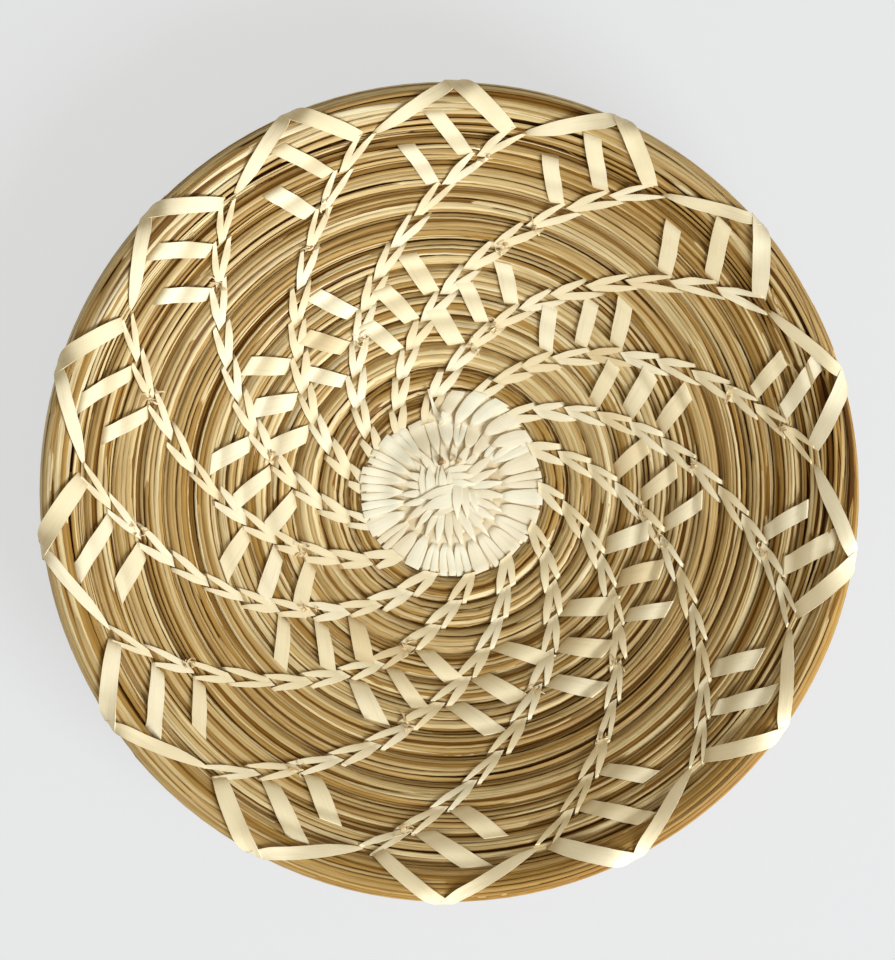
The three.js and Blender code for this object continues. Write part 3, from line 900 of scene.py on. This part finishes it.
outerWraps = {
    "turns": (-1.15, 0.035),
    "count": 34,
    "nose": 15.6,           # radius of the inner ends
    "noseJitter": 0.9,
    "noseWidth": 0.15,      # share of the full width
    "noseDip": 1.3,
    "noseHump": (0.3, 0.25, 0.15),  # height, and its place and spread as shares of the length
    "pastEdge": 0.3,
    "edgeJitter": (-0.4, 0.6),
    "edgeDrop": 0.4,
    "fold": 0.3,
    "corners": 0.16,        # share of the width that the outer corners lose
    "swellings": ((275, 45, 3.0), (185, 40, -1.2), (14, 16, 2.2)),  # of the edge: clock angle, spread, reach
    "swellRise": 0.35,
    "overlap": (330, 70),   # clock angle and spread where the noses lie on the inner row
    "overReach": 2.2,
    "overLift": 1.6,
    "overFlat": 0.85,       # share of the dip that is lost there
    "thirdRow": -0.13,      # from this turn on the strips start on the second row's edge
    "thirdRoot": 2.0,
    "thirdLift": 0.8,
    "thirdFlat": 0.7,
    "thirdNarrow": 0.1,
    "thirdSkew": 0.2,
    "heightJitter": 0.12,
    "widthJitter": (0.86, 1.02),
    "skew": 0.1,
    "lean": 0.06,
    "slit": 0.4,            # share of the strips
    "gape": (0.3, 1.0),
    "seamShadeTint": (0.25, 0.5),
    "plainDrop": 0.45,
    "plainFold": 2.2,
    "plainReach": 4.5,
    "plainWidth": 0.56,
    "underGap": 0.2,
    "hook": ((-6.9, 34.7), (-5.9, 31.1), (-4.6, 27.1), (-3.4, 25.3), (-2.1, 25.2), (-1.1, 26.8)),
    "hookLift": (0.5, 1.5),  # at its start, and what is added
    "hookWidth": (0.45, 0.7),
    "hookCrown": 0.06,
    "hookTint": 0.9,
}


def fanned(band):
    # the middles of strips set evenly over the band's turns, and the angle from one to the next
    first, last = band["turns"]
    count = band["count"]
    turn = (first + (np.arange(count) + 0.5) / count * (last - first))[:, None]
    return turn, 2 * np.pi * (last - first) / count


def fanStrips(turn, reach, height, share, spread, tint, thickness, lean):
    # strips laid off from the middle: share is the angle by which each centre line is off its turn
    return levelStrips(turnAngle(turn) + share, reach, height, spread, lean, tint, thickness, wraps["crown"])


def bell(clock, middle, spread):
    # 1 at the middle's clock angle, falling off on both sides as a normal curve
    away = np.mod(clock - middle + 180, 360) - 180
    return np.exp(-(away / spread) ** 2)


def closeInner(band, rng):
    # petals with pointed tips that lie on the outer row's noses, over a plain layer that is darker as painted
    # shade in the seams
    turn, gap = fanned(band)
    count = len(turn)
    t = np.linspace(0, 1, wraps["steps"])[None]
    tip = band["tip"] + band["tipSwing"] * np.sin(-2 * np.pi * turn) + draw(rng, band["tipJitter"], count)
    reach = band["root"] + (tip - band["root"]) * t
    top = coil["halfHeight"] + wraps["lift"] + band["lift"]
    height = top + band["bow"] * np.sin(np.pi * t) - band["tipDrop"] * smoothStep(0.8, 1, t)
    height = height + draw(rng, band["heightJitter"], count)
    half = reach * gap * 0.5 * (1 - band["point"] * smoothStep(0.3, 1.04, t))
    half = half * draw(rng, band["widthJitter"], count)
    skew = rng.normal(0, band["skew"], (count, 1)) * gap * (t - 0.4)
    lean = np.pi / 2 + rng.normal(0, band["lean"], (count, 1)) + 0 * reach
    tint = rng.uniform(*wraps["tint"], count)
    parts = [fanStrips(turn, reach, height, skew, half, tint, wraps["thickness"], lean)]
    flat = np.pi / 2 + 0 * reach
    # the plain layer's darker tint is painted shade in the seams between petals
    plain = rng.uniform(*band["seamShadeTint"], count)
    thin = wraps["plainThickness"]
    short = reach - band["plainShort"] * t
    low = height - band["plainDrop"]
    parts.append(fanStrips(turn, short, low, 0 * short, short * gap * band["plainWidth"], plain, thin, flat))
    under = -coil["halfHeight"] - band["underGap"] + 0 * reach
    half = -reach * gap * wraps["underWidth"]
    parts.append(fanStrips(turn, reach, under, 0 * reach, half, plain + band["underTint"], thin, -flat))
    return gather(parts)


def hookedEnd(band):
    # a narrow strip on a smooth path that hooks back round the end of the close stitches
    steps = 2 * wraps["steps"]
    x, y = np.moveaxis(smoothPath(np.array(band["hook"])[None], steps), -1, 0)
    angle, radius = np.arctan2(y, x), np.hypot(x, y)
    t = np.linspace(0, 1, steps)[None]
    low, rise = band["hookLift"]
    height = coil["halfHeight"] + wraps["lift"] + low + rise * smoothStep(0.3, 0.8, t)
    up = outward(angle, radius, height, np.full_like(angle, np.pi / 2))
    narrow, added = band["hookWidth"]
    half = narrow + added * smoothStep(0.2, 0.6, t)
    return ribbons(onDish(angle, radius, height), up, half, wraps["plainThickness"], band["hookCrown"],
                   np.array([band["hookTint"]]), prongSection)


def closeOuter(band, rng):
    # wide strips side by side, from noses between the inner row's tips out over the edge, where their
    # corners are rounded; some are slit, the last few start on the first ones' edge as a third row, and
    # plain layers close the seams, tinted darker there as painted shade
    turn, gap = fanned(band)
    count = len(turn)
    clock = np.mod(-360 * turn, 360)
    swollen = 0 * turn
    for middle, spread, swell in band["swellings"]:
        swollen = swollen + np.where(turn < -1, 0, swell * bell(clock, middle, spread))
    edge = outerRadius(turn) + swollen + draw(rng, band["edgeJitter"], count)
    over = bell(clock, *band["overlap"])
    third = 1.0 * (turn > band["thirdRow"])
    nose = np.where(third > 0, innerRadius(turn) - band["thirdRoot"], band["nose"] - band["overReach"] * over)
    nose = nose + draw(rng, band["noseJitter"], count)
    t = np.linspace(0, 1, wraps["steps"])[None]
    reach = nose + (edge + band["pastEdge"] - nose) * t
    lifted = band["overLift"] * over * (1 - third) * (1 - smoothStep(0, 0.8, t))
    lifted = lifted + band["thirdLift"] * third * (1 - smoothStep(0.3, 0.8, t))
    tucked = (1 - band["thirdFlat"] * third) * (1 - band["overFlat"] * over)
    hump, place, spread = band["noseHump"]
    dip = band["noseDip"] * (1 - smoothStep(0, 0.16, t)) - hump * np.exp(-((t - place) / spread) ** 2)
    height = coil["halfHeight"] + wraps["lift"] - tucked * dip + lifted
    rise = band["swellRise"] * np.maximum(swollen, 0) - band["edgeDrop"]
    height = height + rise * smoothStep(0.4, 0.85, t)
    folded = smoothStep(0.9, 1, t) ** 2
    height = height - band["fold"] * folded + draw(rng, band["heightJitter"], count)
    lean = np.pi / 2 + rng.normal(0, band["lean"], (count, 1)) + 0 * reach
    narrow = band["noseWidth"]
    half = reach * gap / 2 * (narrow + (1 - narrow) * smoothStep(-0.1, 0.42, t))
    half = half * draw(rng, band["widthJitter"], count)
    half = half * (1 - band["thirdNarrow"] * third) * (1 - band["corners"] * smoothStep(0.8, 1, t))
    skew = rng.normal(0, band["skew"], (count, 1)) * gap * (t - 0.5) - band["thirdSkew"] * third * t
    tint = rng.uniform(*wraps["tint"], count)
    slit = rng.uniform(0, 1, count) < band["slit"]
    gape = draw(rng, band["gape"], count) * smoothStep(0.3, 1, t)
    parts = []
    for pick, share, spread in ((~slit, skew, half),
                                (slit, skew + (half / 2 + gape / 4) / reach, half / 2 - gape / 4),
                                (slit, skew - (half / 2 + gape / 4) / reach, half / 2 - gape / 4)):
        parts.append(fanStrips(turn[pick], reach[pick], height[pick], share[pick], spread[pick], tint[pick],
                               wraps["thickness"], lean[pick]))
    flat = np.pi / 2 + 0 * reach
    # the plain layer's darker tint is painted shade in the seams between strips
    plain = rng.uniform(*band["seamShadeTint"], count)
    thin = wraps["plainThickness"]
    covered = turn < band["turns"][1] - 1
    low = height - lifted - band["plainDrop"] - np.where(covered, 0, band["plainFold"]) * folded
    deeper = reach - band["plainReach"] * (1 - third) * (1 - t)
    parts.append(fanStrips(turn, deeper, low, skew, deeper * gap * band["plainWidth"], plain, thin, flat))
    under = -coil["halfHeight"] * (1 - np.abs(2 * t - 1) ** 4) - band["underGap"] + 0 * reach
    half = -reach * gap * wraps["underWidth"]
    parts.append(fanStrips(turn, reach, under, 0 * reach, half, tint, thin, -flat))
    parts.append(hookedEnd(band))
    return gather(parts)


rng = np.random.default_rng(wraps["seed"])
# the close stitches take the paler splint copy, as painted light
for word, build, band in (("inner", closeInner, innerWraps), ("outer", closeOuter, outerWraps)):
    addPiece(f"closeStitches{word.title()}", build(band, rng), paintedLitSplint,
             [f"close_stitches_{word}"])

knot = {
    "level": 9.3,           # above the table
    "endDrop": 0.1,
    "startNarrow": 0.3,     # share of the width that is missing at the start
    "point": 0.95,          # and towards the far end
    "thickness": 0.35,
    "crown": 0.04,
    "strips": (             # from, to, width, lift, tint
        ((-7.6, 0.0), (7.6, 0.0), 14.0, -0.6, 0.5), ((-3.6, 9.4), (-1.2, 10.2), 1.5, 1.7, 0.02),
        ((-3.2, 10.8), (-1.0, 9.4), 1.3, 1.6, 0.1), ((-2.9, 8.8), (-2.0, 11.2), 1.2, 1.8, 0.05),
        ((0.3, 10.2), (2.1, 11.8), 0.9, 1.7, 0.2), ((2.4, 9.6), (4.6, 10.6), 1.0, 1.5, 0.25),
        ((-8.0, -1.6), (-9.2, 8.4), 2.8, 0.2, 0.7), ((-5.7, -1.8), (-6.6, 9.2), 3.2, 0.5, 0.95),
        ((-3.5, -1.2), (-3.6, 8.8), 1.7, 0.35, 0.6), ((-1.8, -1.0), (-2.4, 9.0), 2.5, 0.6, 0.85),
        ((0.2, -1.0), (-0.2, 7.6), 1.7, 0.4, 0.65), ((-1.2, 6.4), (7.8, 8.8), 2.6, 0.2, 0.8),
        ((-1.2, 4.7), (8.6, 5.6), 2.6, 0.35, 0.7), ((-1.0, 2.8), (8.8, 2.6), 2.8, 0.45, 0.9),
        ((4.4, 1.6), (-10.6, -2.4), 3.8, 0.8, 0.75), ((4.4, -0.8), (-10.0, -6.0), 4.2, 0.9, 0.9),
        ((3.4, -3.6), (-5.6, -8.2), 2.8, 0.6, 0.65), ((2.8, 3.8), (2.7, -9.4), 3.1, 1.0, 0.8),
        ((5.0, 3.0), (6.0, -9.0), 2.8, 0.8, 0.6), ((6.9, 1.0), (9.6, -7.0), 2.6, 0.5, 0.85),
    ),
}


def centreKnot():
    # short strips that cross on top of one another, each bowed up in the middle and pointed at its far end
    ends = np.array([[start, finish] for start, finish, *rest in knot["strips"]], dtype=float)
    width, lift, tint = np.array([rest for start, finish, *rest in knot["strips"]]).T
    t = np.linspace(0, 1, stitches["steps"])[None]
    flat = ends[:, :1] + (ends[:, 1:] - ends[:, :1]) * t[..., None]
    bow = knot["level"] + lift[:, None] * np.sin(np.pi * t) - knot["endDrop"] * np.abs(2 * t - 1) ** 8
    path = np.concatenate([flat, bow[..., None]], -1)
    up = np.broadcast_to(np.array([0.0, 0.0, 1.0]), path.shape)
    taper = 1 - knot["startNarrow"] * (1 - smoothStep(0, 0.2, t)) - knot["point"] * smoothStep(0.5, 1.05, t)
    return ribbons(path, up, width[:, None] / 2 * taper, knot["thickness"], knot["crown"], tint, prongSection)


# the knot takes the paler splint copy, as painted light
addPiece("centreKnot", centreKnot(), paintedLitSplint, ["centre_knot"])
print("close stitches and knot ready")


# Floor, light and camera

studio = {
    "floorSize": 1.5,           # metres from the middle to a side
    "floorColour": (0.84, 0.84, 0.84),
    "floorRoughness": 0.9,
    "floorSeen": (0.80, 0.805, 0.815),  # what the camera sees of the floor, mixed in to soften its shadow
    "floorSeenShare": 0.8,
    "worldStrength": 0.385,
    "worldColour": (1.0, 0.91, 0.72),   # warm, like light that comes back off straw
    "keyPlace": (1.84, -1.8, 1.42),
    "keySize": 1.5,
    "keyPower": 129,
    "keyColour": (0.86, 0.93, 1.0),
    "imageSize": (895, 960),
    "trayCentre": (449, 492),   # pixels in the picture
    "pixel": 0.000327,          # metres at the rim
    "cameraAbove": 2.0,         # over the rim
    "sensor": 24,
}


def buildFloor():
    # one square face; its material mixes its own shading with a plain tone for the camera
    size = studio["floorSize"]
    corners = [(-size, -size, 0), (size, -size, 0), (size, size, 0), (-size, size, 0)]
    mesh = bpy.data.meshes.new("floor")
    mesh.from_pydata(corners, [], [(0, 1, 2, 3)])
    surface = bpy.data.materials.new("floorSurface")
    surface.use_nodes = True
    tree = surface.node_tree
    shader = tree.nodes["Principled BSDF"]
    feed(tree, shader.inputs["Base Color"], (*studio["floorColour"], 1))
    feed(tree, shader.inputs["Roughness"], studio["floorRoughness"])
    seen = addNode(tree, "ShaderNodeEmission", {"Color": (*studio["floorSeen"], 1)})
    ray = addNode(tree, "ShaderNodeLightPath", {})
    share = mathNode(tree, "MULTIPLY", ray.outputs["Is Camera Ray"], studio["floorSeenShare"])
    both = addNode(tree, "ShaderNodeMixShader",
                   {0: share, 1: shader.outputs["BSDF"], 2: seen.outputs["Emission"]})
    feed(tree, tree.nodes["Material Output"].inputs["Surface"], both.outputs["Shader"])
    mesh.materials.append(surface)
    floor = bpy.data.objects.new("floor", mesh)
    bpy.context.scene.collection.objects.link(floor)


def buildLight():
    # an even warm world, and one square lamp turned to face the origin
    world = bpy.data.worlds.new("studio")
    world.use_nodes = True
    background = world.node_tree.nodes["Background"]
    background.inputs["Color"].default_value = (*studio["worldColour"], 1)
    background.inputs["Strength"].default_value = studio["worldStrength"]
    bpy.context.scene.world = world
    lamp = bpy.data.lights.new("softKey", "AREA")
    lamp.size = studio["keySize"]
    lamp.energy = studio["keyPower"]
    lamp.color = studio["keyColour"]
    key = bpy.data.objects.new("softKey", lamp)
    key.location = studio["keyPlace"]
    x, y, z = studio["keyPlace"]
    key.rotation_euler = (np.arctan2(np.hypot(x, y), z), 0, np.arctan2(x, -y))
    bpy.context.scene.collection.objects.link(key)


def buildCamera():
    # straight above; the lens is to the sensor as the distance to the rim is to the picture's height there
    wide, high = studio["imageSize"]
    cameraData = bpy.data.cameras.new("camera")
    cameraData.sensor_fit = "VERTICAL"
    cameraData.sensor_height = studio["sensor"]
    cameraData.lens = studio["sensor"] * studio["cameraAbove"] / (high * studio["pixel"])
    camera = bpy.data.objects.new("camera", cameraData)
    right = (wide / 2 - studio["trayCentre"][0]) * studio["pixel"]
    ahead = (studio["trayCentre"][1] - high / 2) * studio["pixel"]
    camera.location = (right, ahead, cadHigh[2] + studio["cameraAbove"])
    bpy.context.scene.collection.objects.link(camera)
    bpy.context.scene.camera = camera


buildFloor()
buildLight()
buildCamera()
bpy.context.scene.view_settings.view_transform = "Standard"
print("studio ready")
